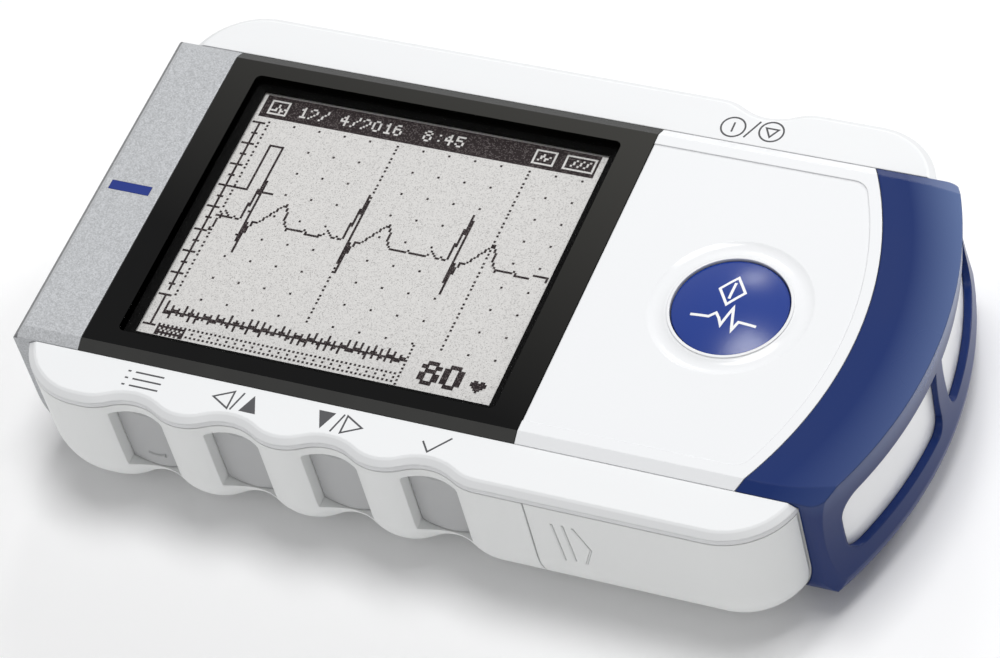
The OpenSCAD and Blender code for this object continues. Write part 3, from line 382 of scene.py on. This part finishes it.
innerLook = {
    "holder": {"colour": (0.03, 0.03, 0.033), "fade": 0.9, "rough": 0.55, "grain": 8000.0, "relief": 0.02},
    "backing": {"colour": (0.8, 0.8, 0.78), "fade": 0.97, "rough": 0.6, "grain": 5000.0, "relief": 0.01},
    "switch": {"colour": (0.02, 0.02, 0.022), "fade": 0.9, "rough": 0.5, "grain": 8000.0, "relief": 0.02},
    "plunger": {"colour": (0.7, 0.66, 0.55), "fade": 0.95, "rough": 0.5, "grain": 8000.0, "relief": 0.02},
    "board": {
        "colour": (0.01, 0.12, 0.045), "fade": 0.85, "rough": 0.3, "grain": 2500.0, "relief": 0.02,
        "speck": 0.25,
    },
    "flex": {
        "colour": (0.5, 0.2, 0.03), "fade": 0.85, "rough": 0.3, "grain": 1500.0, "relief": 0.01,
        "speck": 0.2,
    },
    "panelTape": {"colour": (0.1, 0.1, 0.105), "fade": 0.9, "rough": 0.6, "grain": 3000.0, "relief": 0.01},
    "windowTape": {
        "colour": (0.003, 0.003, 0.003), "fade": 0.8, "rough": 0.7, "grain": 3000.0, "relief": 0.01,
        "spec": 0.05,
    },
}
switches = ["start_switch", "side_switches", "power_switch", "beeper"]
boards = ["main_board", "side_key_board", "power_key_board"]
plungers = [name + "_plunger" for name in ["start"] + keyNames]
dress(["lcd_holder"], mouldedPlastic("holderBlack", innerLook["holder"]))
dress(["lcd_backing"], mouldedPlastic("backingWhite", innerLook["backing"]))
dress(switches, mouldedPlastic("switchBlack", innerLook["switch"]))
dress(plungers, mouldedPlastic("plungerIvory", innerLook["plunger"]))
dress(boards, mouldedPlastic("boardGreen", innerLook["board"]))
dress(["lcd_flex"], mouldedPlastic("flexAmber", innerLook["flex"]))
dress(["panel_tape"], mouldedPlastic("tapeGrey", innerLook["panelTape"]))
dress(["window_tape"], mouldedPlastic("tapeBlack", innerLook["windowTape"]))

cellLook = {
    "body": (0.55, 0.56, 0.58),
    "band": (0.02, 0.10, 0.30),
    "bandFrom": -12.0,
    "bandTo": 14.0,
}


def cellWrap():
    mat, tree, shader = startMaterial("cellWrap")
    place = addNode(tree, "TexCoord").outputs["Object"]
    y = addNode(tree, "SeparateXYZ", {0: place}).outputs[1]
    after = calc(tree, "GREATER_THAN", y, cellLook["bandFrom"] * mm)
    before = calc(tree, "LESS_THAN", y, cellLook["bandTo"] * mm)
    band = calc(tree, "MULTIPLY", after, before)
    worn = noise(tree, place, 400.0, 3.0)
    body = mixColour(tree, worn, opaque(cellLook["body"]), shade(cellLook["body"], 0.85))
    base = mixColour(tree, band, body, opaque(cellLook["band"]))
    tree.links.new(base, shader.inputs["Base Color"])
    tree.links.new(remap(tree, worn, 0.3, 0.7, 0.22, 0.34), shader.inputs["Roughness"])
    shader.inputs["Metallic"].default_value = 0.5
    tree.links.new(softEdge(tree, 0.3), shader.inputs["Normal"])
    return mat


dress(["cell_left", "cell_right"], cellWrap())
print("finishes on")


# screen: a picture of square dots under the clear middle of the window

screenLook = {
    "columns": 160,
    "rows": 134,
    "pitch": 0.3119,
    "middle": (-17.15, 0.32),
    "surface": 21.3,
    "dotHeight": 0.03,
    "grainPerDot": 2.3,
    "paper": (0.72, 0.71, 0.695),
    "grey": (0.60, 0.59, 0.58),
    "dark": (0.44, 0.43, 0.42),
    "greyShare": 0.28,
    "darkShare": 0.04,
    "ink": (0.022, 0.016, 0.017),
    "inkSpeck": (0.10, 0.085, 0.085),
}
screenX0 = screenLook["middle"][0] - screenLook["columns"] * screenLook["pitch"] / 2
screenY0 = screenLook["middle"][1] + screenLook["rows"] * screenLook["pitch"] / 2


def dotNoise(tree, place, scale):
    # one random value for each dot of the screen
    cell = addNode(tree, "VectorMath", {0: place, 1: (scale, scale, scale)}, operation="MULTIPLY").outputs[0]
    cell = addNode(tree, "VectorMath", {0: cell}, operation="FLOOR").outputs[0]
    return addNode(tree, "TexWhiteNoise", {"Vector": cell}, noise_dimensions="3D").outputs[0]


def flatPlace(tree):
    # object coordinates from the screen's corner, with no height
    place = addNode(tree, "TexCoord").outputs["Object"]
    parts = addNode(tree, "SeparateXYZ", {0: place}).outputs
    x = calc(tree, "SUBTRACT", parts[0], screenX0 * mm)
    y = calc(tree, "SUBTRACT", parts[1], screenY0 * mm)
    return addNode(tree, "CombineXYZ", {0: x, 1: y, 2: 0.0005}).outputs[0]


def screenPaper():
    mat, tree, shader = startMaterial("screenPaper")
    flat = flatPlace(tree)
    grain = dotNoise(tree, flat, screenLook["grainPerDot"] / (screenLook["pitch"] * mm))
    grey = calc(tree, "GREATER_THAN", grain, 1 - screenLook["greyShare"] - screenLook["darkShare"])
    dark = calc(tree, "GREATER_THAN", grain, 1 - screenLook["darkShare"])
    base = mixColour(tree, grey, opaque(screenLook["paper"]), opaque(screenLook["grey"]))
    base = mixColour(tree, dark, base, opaque(screenLook["dark"]))
    broad = noise(tree, flat, 60.0, 2.0)
    base = mixColour(tree, remap(tree, broad, 0.3, 0.7, 0.0, 0.12), base, opaque(screenLook["grey"]))
    tree.links.new(base, shader.inputs["Base Color"])
    tree.links.new(remap(tree, broad, 0.3, 0.7, 0.3, 0.4), shader.inputs["Roughness"])
    shader.inputs["Specular IOR Level"].default_value = 0.2
    return mat


def screenInk():
    mat, tree, shader = startMaterial("screenInk")
    flat = flatPlace(tree)
    grain = dotNoise(tree, flat, screenLook["grainPerDot"] / (screenLook["pitch"] * mm))
    speck = calc(tree, "GREATER_THAN", grain, 0.8)
    base = mixColour(tree, speck, opaque(screenLook["ink"]), opaque(screenLook["inkSpeck"]))
    tree.links.new(base, shader.inputs["Base Color"])
    shader.inputs["Roughness"].default_value = 0.45
    shader.inputs["Specular IOR Level"].default_value = 0.1
    return mat


windowLook = {
    "clearMiddle": (-16.85, 0.0),
    "clearHalf": (26.6, 22.4),
    "clearCorner": 0.9,
    "clearVeil": 0.02,
    "slopeFrom": 24.72,
    "ink": [(0.0008, 0.0009, 0.0011), (0.0018, 0.0018, 0.0019)],
    # painted reflection towards the far right
    "paintedReflectionGrey": (0.046, 0.045, 0.041),
    "paintedReflectionSpan": (-20.0, 34.0),
    "slope": [(0.035, 0.035, 0.034), (0.05, 0.05, 0.048)],
}


def clearMask(tree, x, y):
    # 1 outside a rounded rectangle, 0 inside
    corner = windowLook["clearCorner"] * mm
    sides = []
    for along, middle, half in zip((x, y), windowLook["clearMiddle"], windowLook["clearHalf"]):
        away = calc(tree, "ABSOLUTE", calc(tree, "SUBTRACT", along, middle * mm))
        sides.append(calc(tree, "MAXIMUM", calc(tree, "SUBTRACT", away, half * mm - corner), 0.0))
    squares = calc(tree, "MULTIPLY_ADD", sides[0], sides[0], calc(tree, "MULTIPLY", sides[1], sides[1]))
    return calc(tree, "GREATER_THAN", calc(tree, "SQRT", squares), corner)


def windowMaterial():
    # black gloss with a clear middle, set by place on the window
    mat, tree, shader = startMaterial("windowBlack")
    place = addNode(tree, "TexCoord").outputs["Object"]
    x, y, z = addNode(tree, "SeparateXYZ", {0: place}).outputs
    alpha = remap(tree, clearMask(tree, x, y), 0.0, 1.0, windowLook["clearVeil"], 1.0)
    tree.links.new(alpha, shader.inputs["Alpha"])
    haze = noise(tree, place, 150.0, 3.0)
    # painted reflection: the black is lightened a little towards the far right
    near, far = windowLook["paintedReflectionSpan"]
    paintedReflectionMask = remap(tree, calc(tree, "MULTIPLY_ADD", x, 0.35, y), near * mm, far * mm, 0.0, 1.0)
    ink = mixColour(tree, haze, *[opaque(colour) for colour in windowLook["ink"]])
    ink = mixColour(tree, paintedReflectionMask, ink, opaque(windowLook["paintedReflectionGrey"]))
    # the sloped edge shows the plastic's own grey
    slope = calc(tree, "GREATER_THAN", calc(tree, "ABSOLUTE", y), windowLook["slopeFrom"] * mm)
    edge = mixColour(tree, haze, *[opaque(colour) for colour in windowLook["slope"]])
    tree.links.new(mixColour(tree, slope, ink, edge), shader.inputs["Base Color"])
    tree.links.new(remap(tree, haze, 0.3, 0.7, 0.08, 0.14), shader.inputs["Roughness"])
    shader.inputs["Specular IOR Level"].default_value = 0.1
    tree.links.new(softEdge(tree, 0.15), shader.inputs["Normal"])
    return mat


dress(["lcd_glass"], screenPaper())
dress(["display_window"], windowMaterial())

glyphs = {
    "0": "699996", "1": "262227", "2": "691248", "3": "692196", "4": "26AF22", "5": "F8E196",
    "6": "68E996", "7": "F12244", "8": "696996", "9": "697196", "/": "112448", ":": "020020",
}


def drawText(dots, text, column, row, size=1, value=1):
    for letter in text:
        if letter != " ":
            for i, line in enumerate(glyphs[letter]):
                for j in range(4):
                    if int(line, 16) >> (3 - j) & 1:
                        for a in range(size):
                            for b in range(size):
                                dots[(column + j * size + a, row + i * size + b)] = value
        column += 5 * size


def drawLine(dots, points, value=1):
    for (c0, r0), (c1, r1) in zip(points, points[1:]):
        steps = max(1, round(max(abs(c1 - c0), abs(r1 - r0))))
        for k in range(steps + 1):
            dots[(round(c0 + (c1 - c0) * k / steps), round(r0 + (r1 - r0) * k / steps))] = value


def drawBox(dots, c0, r0, c1, r1, value=1):
    for c in range(c0, c1 + 1):
        for r in range(r0, r1 + 1):
            dots[(c, r)] = value


# columns count from the left and rows from the top, in dots
traceLook = {
    "time": "8:45",
    "date": "12/ 4/2016",
    "rate": "80",
    "headerRows": (1, 12),
    "dateColumn": 19,
    "timeColumn": 78,
    "signs": [(5, 13), (129, 138), (143, 156)],
    "square": 12.2,
    "left": 7.6,
    "top": 14.6,
    "beat": 48.0,
    "rest": 68.0,
    "firstPeak": 19.5,
    "peak": 25.0,
    "dip": 17.0,
    "pulse": (14, 20, 27, 52),
    "scaleColumn": 4,
    "scaleRows": (16, 130),
    "stripRow": 121,
    "stripStart": 7,
    "stripEnd": 118,
    "barRows": (128, 134),
    "barDark": 21,
    "rateAt": (126, 119),
    "heartAt": (149, 124),
}
heart = ["0110110", "1111111", "1111111", "0111110", "0011100", "0001000"]


def drawBeat(dots, start, sway):
    # one beat: small wave, sharp peak and dip, slow climb to a round wave, then rest
    rest = traceLook["rest"]
    top = rest - traceLook["peak"]
    low = rest + traceLook["dip"]
    c = start
    drawLine(dots, [(c - 13, rest), (c - 11, rest - 1)])
    drawLine(dots, [(c - 10, rest - 3), (c - 9, rest - 2), (c - 7, rest), (c - 5, rest - 1), (c - 3, rest)])
    drawLine(dots, [(c - 2, rest - 1), (c - 2, rest - 9)])
    drawLine(dots, [(c - 1, rest - 8), (c - 1, top + 8)])
    drawLine(dots, [(c, top + 10), (c, top)])
    drawLine(dots, [(c + 1, top + 3), (c + 1, low - 6)])
    drawLine(dots, [(c + 2, low - 16), (c + 2, low)])
    drawLine(dots, [(c + 3, rest + 6), (c + 3, rest + 3)])
    drawLine(dots, [(c + 4, rest + 2), (c + 4, rest), (c + 6, rest), (c + 8, rest - 2)])
    drawLine(dots, [(c + 8, rest - 3), (c + 11, rest - 7), (c + 13, rest - 10), (c + 15, rest - 12)])
    drawLine(dots, [(c + 15, rest - 11), (c + 16, rest - 9)])
    drawLine(dots, [(c + 17, rest - 8), (c + 17, rest - 4)])
    drawLine(dots, [(c + 18, rest - 3), (c + 19, rest - 1), (c + 20, rest + sway)])
    drawLine(dots, [(c + 20, rest), (c + 27, rest), (c + 28, rest - 1), (c + 29, rest)])
    drawLine(dots, [(c + 29, rest + sway), (c + 35, rest + sway)])


def drawHeader(dots):
    # dark bar with the date, the time and three small signs, left clear in it
    first, last = traceLook["headerRows"]
    drawBox(dots, 2, first, screenLook["columns"] - 3, last)
    drawText(dots, traceLook["date"], traceLook["dateColumn"], 4, 1, 0)
    drawText(dots, traceLook["time"], traceLook["timeColumn"], 4, 1, 0)
    for c0, c1 in traceLook["signs"]:
        for c in range(c0, c1 + 1):
            dots[(c, 3)] = dots[(c, 10)] = 0
        for r in range(3, 11):
            dots[(c0, r)] = dots[(c1, r)] = 0
    wave, beat, bars = [ends[0] for ends in traceLook["signs"]]
    drawLine(dots, [(wave + 1, 8), (wave + 3, 8), (wave + 4, 5), (wave + 5, 9), (wave + 7, 7)], 0)
    drawLine(dots, [(beat + 2, 8), (beat + 4, 5), (beat + 5, 8), (beat + 7, 6)], 0)
    for k in range(3):
        drawLine(dots, [(bars + 3 + 3 * k, 8), (bars + 5 + 3 * k, 5)], 0)


def drawSquares(dots):
    # corners of the measuring squares, with every fifth column dotted all the way
    square, left, top = traceLook["square"], traceLook["left"], traceLook["top"]
    for i in range(13):
        for j in range(9):
            dots[(round(left + i * square), round(top + j * square))] = 1
    for i in (0, 5, 10):
        for k in range(40):
            dots[(round(left + i * square), round(top + k * square / 5))] = 1


def drawScale(dots):
    # ruled line down the left side, one long and one short tick a square
    column = traceLook["scaleColumn"]
    for r in range(*traceLook["scaleRows"]):
        if r not in (111, 112):
            dots[(column, r)] = 1
    for k in range(9):
        r = round(traceLook["top"] + k * traceLook["square"]) + 1
        drawBox(dots, column - 3, r, column + 2, r)
        if k < 8:
            drawBox(dots, column - 1, r + 6, column + 1, r + 6)
    for r in (113, 129):
        drawBox(dots, column - 3, r, column + 2, r)


def drawTrace(dots):
    # measuring pulse, end of the beat before, three beats, and the last few dots at the right
    left, right, top, foot = traceLook["pulse"]
    drawLine(dots, [(left - 8, foot), (left, foot), (left, top), (right, top)])
    drawLine(dots, [(right, top), (right, foot), (right + 6, foot)])
    drawLine(dots, [(7, 76), (8, 72)])
    drawLine(dots, [(8, 71), (9, 68), (13, 68)])
    for k in range(3):
        peak = round(traceLook["firstPeak"] + k * traceLook["beat"])
        drawBeat(dots, peak, 0 if k % 2 else 1)
    drawLine(dots, [(153, 67), (159, 67), (159, 69)])


def drawStrip(dots, rng):
    # narrow strip of the whole record
    row, start, end = traceLook["stripRow"], traceLook["stripStart"], traceLook["stripEnd"]
    for c in range(start, end):
        dots[(c, row + round(1.1 * math.sin(c * 0.9)))] = 1
        dots[(c, row)] = 1
        if (c - start) % 3 == 0:
            up = 2 + rng.randrange(3)
            down = 1 + rng.randrange(3)
            drawBox(dots, c, row - up, c, row + down)
    drawLine(dots, [(start, row), (start, row - 5)])
    for r in range(113, 134, 2):
        dots[(end, r)] = 1


def drawBar(dots):
    # progress bar, its first part dark
    start, dark = traceLook["stripStart"] + 1, traceLook["barDark"]
    first, last = traceLook["barRows"]
    for c in range(start, traceLook["stripEnd"]):
        for r in range(first, last):
            if c < dark:
                mark = r in (first + 1, last - 2) or c in (start, dark - 1) or (c + r) % 2 == 0
            else:
                mark = r % 2 == 0 and (c + r) % 4 == 2 or r % 2 == 0 and c % 4 == 0
            if mark:
                dots[(c, r)] = 1


def screenDots():
    rng = random.Random(7)
    dots = {}
    drawHeader(dots)
    drawSquares(dots)
    drawScale(dots)
    drawTrace(dots)
    drawStrip(dots, rng)
    drawBar(dots)
    # the rate is drawn twice, one dot apart, to make it bold
    c, r = traceLook["rateAt"]
    drawText(dots, traceLook["rate"], c, r, 2)
    drawText(dots, traceLook["rate"], c + 1, r, 2)
    c, r = traceLook["heartAt"]
    for i, line in enumerate(heart):
        for j, mark in enumerate(line):
            if mark == "1":
                dots[(c + j, r + i)] = 1
    columns, rows = screenLook["columns"], screenLook["rows"]
    return {key for key, value in dots.items() if value and 0 <= key[0] < columns and 0 <= key[1] < rows}


def dotBlocks(dots):
    # joins dots into blocks: first along each row, then equal runs down the rows
    runs = {}
    for row in range(screenLook["rows"]):
        column = 0
        while column < screenLook["columns"]:
            if (column, row) in dots:
                end = column
                while (end + 1, row) in dots:
                    end += 1
                runs.setdefault((column, end), []).append(row)
                column = end + 1
            else:
                column += 1
    blocks = []
    for (c0, c1), rows in runs.items():
        first = previous = rows[0]
        for row in rows[1:] + [None]:
            if row is None or row != previous + 1:
                blocks.append((c0, first, c1, previous))
                first = row
            previous = row
    return blocks


# mesh tools

def addBlock(bm, low, high):
    xs, ys, zs = zip(low, high)
    corners = [bm.verts.new((x, y, z)) for z in zs for y in ys for x in xs]
    for a, b, c, d in ((0, 2, 3, 1), (4, 5, 7, 6), (0, 1, 5, 4), (2, 6, 7, 3), (0, 4, 6, 2), (1, 3, 7, 5)):
        bm.faces.new((corners[a], corners[b], corners[c], corners[d]))


def addPrism(bm, outline, low, high, place):
    bottom = [bm.verts.new(place(u, v, low)) for u, v in outline]
    top = [bm.verts.new(place(u, v, high)) for u, v in outline]
    bm.faces.new(bottom[::-1])
    bm.faces.new(top)
    for i in range(len(outline)):
        j = (i + 1) % len(outline)
        bm.faces.new((bottom[i], bottom[j], top[j], top[i]))


def split(path, step, closed):
    ends = path + path[:1] if closed else path
    points = []
    for (u0, v0), (u1, v1) in zip(ends, ends[1:]):
        count = max(1, math.ceil(math.hypot(u1 - u0, v1 - v0) / step))
        points += [(u0 + (u1 - u0) * k / count, v0 + (v1 - v0) * k / count) for k in range(count)]
    return points if closed else points + [path[-1]]


def addStroke(bm, path, width, low, high, place, closed=False, step=0.5):
    points = split(path, step, closed)
    count = len(points)
    rings = []
    for i, (u, v) in enumerate(points):
        before = points[i - 1] if closed or i > 0 else None
        after = points[(i + 1) % count] if closed or i < count - 1 else None
        along = []
        if before:
            along.append(Vector((u - before[0], v - before[1])).normalized())
        if after:
            along.append(Vector((after[0] - u, after[1] - v)).normalized())
        mean = sum(along, Vector((0, 0))).normalized()
        across = Vector((-mean.y, mean.x))
        reach = width / 2 / max(0.35, across.dot(Vector((-along[0].y, along[0].x))))
        sides = [(u + across.x * reach * s, v + across.y * reach * s) for s in (1, -1)]
        rings.append([bm.verts.new(place(a, b, h)) for h in (low, high) for a, b in sides])
    for i in range(count if closed else count - 1):
        p, q = rings[i], rings[(i + 1) % count]
        for a, b in ((0, 2), (2, 3), (3, 1), (1, 0)):
            bm.faces.new((p[a], p[b], q[b], q[a]))
    if not closed:
        for ring in (rings[0], rings[-1]):
            bm.faces.new((ring[0], ring[1], ring[3], ring[2]))


def circlePath(u, v, radius, count=40):
    turns = [2 * math.pi * k / count for k in range(count)]
    return [(u + radius * math.cos(t), v + radius * math.sin(t)) for t in turns]


def makePiece(name, bm, mat, body):
    bmesh.ops.recalc_face_normals(bm, faces=bm.faces)
    mesh = bpy.data.meshes.new(name)
    bm.to_mesh(mesh)
    bm.free()
    piece = bpy.data.objects.new(name, mesh)
    bpy.context.scene.collection.objects.link(piece)
    mesh.materials.append(mat)
    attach(piece, body)


def buildScreen():
    bm = bmesh.new()
    pitch = screenLook["pitch"]
    low = screenLook["surface"] - 0.005
    high = screenLook["surface"] + screenLook["dotHeight"]
    blocks = dotBlocks(screenDots())
    for c0, r0, c1, r1 in blocks:
        x0, x1 = screenX0 + c0 * pitch, screenX0 + (c1 + 1) * pitch
        y0, y1 = screenY0 - (r1 + 1) * pitch, screenY0 - r0 * pitch
        addBlock(bm, (x0 * mm, y0 * mm, low * mm), (x1 * mm, y1 * mm, high * mm))
    makePiece("screen_dots", bm, screenInk(), "case")
    print("screen blocks:", len(blocks))


buildScreen()


# printed marks on the rails and on the start button

# places along the rails, and sizes of each sign from its own middle, all in mm
markLook = {
    "ink": (0.075, 0.075, 0.08),
    "railTop": 22.5,
    "sunk": -0.01,
    "thick": 0.02,
    "line": 0.24,
    "signHeight": 2.7,
    "row": -28.75,
    "menuX": -36.9,
    "leftX": -23.35,
    "rightX": -9.25,
    "tickX": 4.15,
    "listLine": (-1.5, 2.6),
    "listDot": (-2.6, -2.15),
    "listStep": 0.8,
    "outline": (0.9, 3.4),
    "solid": (0.75, 1.95, 3.1),
    "slash": (0.45, 0.1),
    "tick": (-1.6, -0.45, 1.9),
    "powerX": (22.7, 27.9),
    "powerY": (28.7, 29.0),
    "powerR": 1.62,
    "powerBar": 0.8,
    "powerSlash": (0.7, 1.5),
    "standby": (0.85, 0.5, 0.9),
}


def printInk(name, colour):
    mat, tree, shader = startMaterial(name)
    place = addNode(tree, "TexCoord").outputs["Object"]
    grain = noise(tree, place, 9000.0, 2.0)
    tree.links.new(mixColour(tree, grain, opaque(colour), shade(colour, 1.25)), shader.inputs["Base Color"])
    tree.links.new(remap(tree, grain, 0.3, 0.7, 0.35, 0.5), shader.inputs["Roughness"])
    shader.inputs["Specular IOR Level"].default_value = 0.2
    return mat


def onRail(u, v, h):
    return (u * mm, v * mm, (markLook["railTop"] + h) * mm)


def buildRailMarks():
    bm = bmesh.new()
    low, high = markLook["sunk"], markLook["thick"]
    half = markLook["signHeight"] / 2
    row = markLook["row"]

    def stroke(path, closed=False):
        addStroke(bm, path, markLook["line"], low, high, onRail, closed)

    def fill(path):
        addPrism(bm, path, low, high, onRail)

    # list sign
    x = markLook["menuX"]
    for k in (-1, 0, 1):
        v = row + k * half * markLook["listStep"]
        for start, end in (markLook["listLine"], markLook["listDot"]):
            stroke([(x + start, v), (x + end, v)])
    # left or up, down or right
    base, tip = markLook["outline"]
    inner, point, outer = markLook["solid"]
    lean, past = markLook["slash"]
    for x in (markLook["leftX"], markLook["rightX"]):
        stroke([(x - lean, row - half - past), (x + lean, row + half + past)])
    x = markLook["leftX"]
    stroke([(x - tip, row), (x - base, row + half), (x - base, row - half)], True)
    fill([(x + inner, row - half), (x + outer, row - half), (x + point, row + half)])
    x = markLook["rightX"]
    fill([(x - outer, row + half), (x - point, row - half), (x - inner, row + half)])
    stroke([(x + base, row - half), (x + tip, row), (x + base, row + half)], True)
    # tick
    x = markLook["tickX"]
    start, foot, end = markLook["tick"]
    stroke([(x + start, row + 0.1), (x + foot, row - half), (x + end, row + half)])
    # on and standby
    px, py = markLook["powerX"], markLook["powerY"]
    for u, v in zip(px, py):
        stroke(circlePath(u, v, markLook["powerR"]), True)
    bar = markLook["powerBar"]
    stroke([(px[0], py[0] - bar), (px[0], py[0] + bar)])
    u, v = sum(px) / 2, sum(py) / 2
    across, along = markLook["powerSlash"]
    stroke([(u - across, v - along), (u + across, v + along)])
    wide, top, foot = markLook["standby"]
    u, v = px[1], py[1]
    stroke([(u - wide, v + top), (u + wide, v + top), (u, v - foot)], True)
    makePiece("rail_marks", bm, printInk("railInk", markLook["ink"]), "case")


startLook = {
    "x": 33.0,
    "top": 24.0,
    "rise": 1.0,
    "radius": 7.5,
    "ink": (0.8, 0.81, 0.82),
    "sunk": -0.01,
    "thick": 0.02,
    "line": 0.36,
    "diamond": (-0.3, 2.0),
    "diamondHalf": (1.7, 2.3),
    "diamondBar": 1.35,
    "waveY": -2.5,
    "waveHalf": 4.4,
    "wave": [(-1.9, 0), (-1.1, 0.7), (-0.5, 0), (0.0, -0.9), (0.8, 1.9), (1.6, -1.3), (2.1, 0)],
    "step": 0.3,
}


def onDome(u, v, h):
    bow = (startLook["radius"] ** 2 + startLook["rise"] ** 2) / (2 * startLook["rise"])
    z = startLook["top"] - bow + math.sqrt(bow * bow - u * u - v * v)
    return ((startLook["x"] + u) * mm, v * mm, (z + h) * mm)


def buildStartMark():
    bm = bmesh.new()
    low, high = startLook["sunk"], startLook["thick"]
    line = startLook["line"]
    x, y = startLook["diamond"]
    wide, tall = startLook["diamondHalf"]
    bar = startLook["diamondBar"]
    step = startLook["step"]
    diamond = [(x - wide, y), (x, y - tall), (x + wide, y), (x, y + tall)]
    addStroke(bm, diamond, line, low, high, onDome, True, step)
    addStroke(bm, [(x, y - bar), (x, y + bar)], line, low, high, onDome, False, step)
    y, half = startLook["waveY"], startLook["waveHalf"]
    wave = [(-half, 0)] + startLook["wave"] + [(half, 0)]
    addStroke(bm, [(u, y + v) for u, v in wave], line, low, high, onDome, False, step)
    makePiece("start_mark", bm, printInk("startInk", startLook["ink"]), "start")


buildRailMarks()
buildStartMark()
print("marks on")


# thumb marks moulded on the battery cover

strokeLook = {
    "face": -33.5,
    "width": 0.34,
    "proud": 0.09,
    "lines": [
        [(20.9, 17.8), (21.5, 10.4)],
        [(22.4, 17.9), (22.95, 10.7)],
        [(23.7, 17.75), (25.5, 13.7), (24.4, 10.5)],
    ],
}


def buildCoverMarks():
    bm = bmesh.new()

    def onSide(u, v, h):
        return (u * mm, (strokeLook["face"] - h) * mm, v * mm)

    for path in strokeLook["lines"]:
        addStroke(bm, path, strokeLook["width"], -0.02, strokeLook["proud"] * 0.5, onSide)
        addStroke(bm, path, strokeLook["width"] * 0.5, 0.0, strokeLook["proud"], onSide)
    makePiece("cover_marks", bm, bpy.data.materials["caseGrey"], "battery_door")


buildCoverMarks()
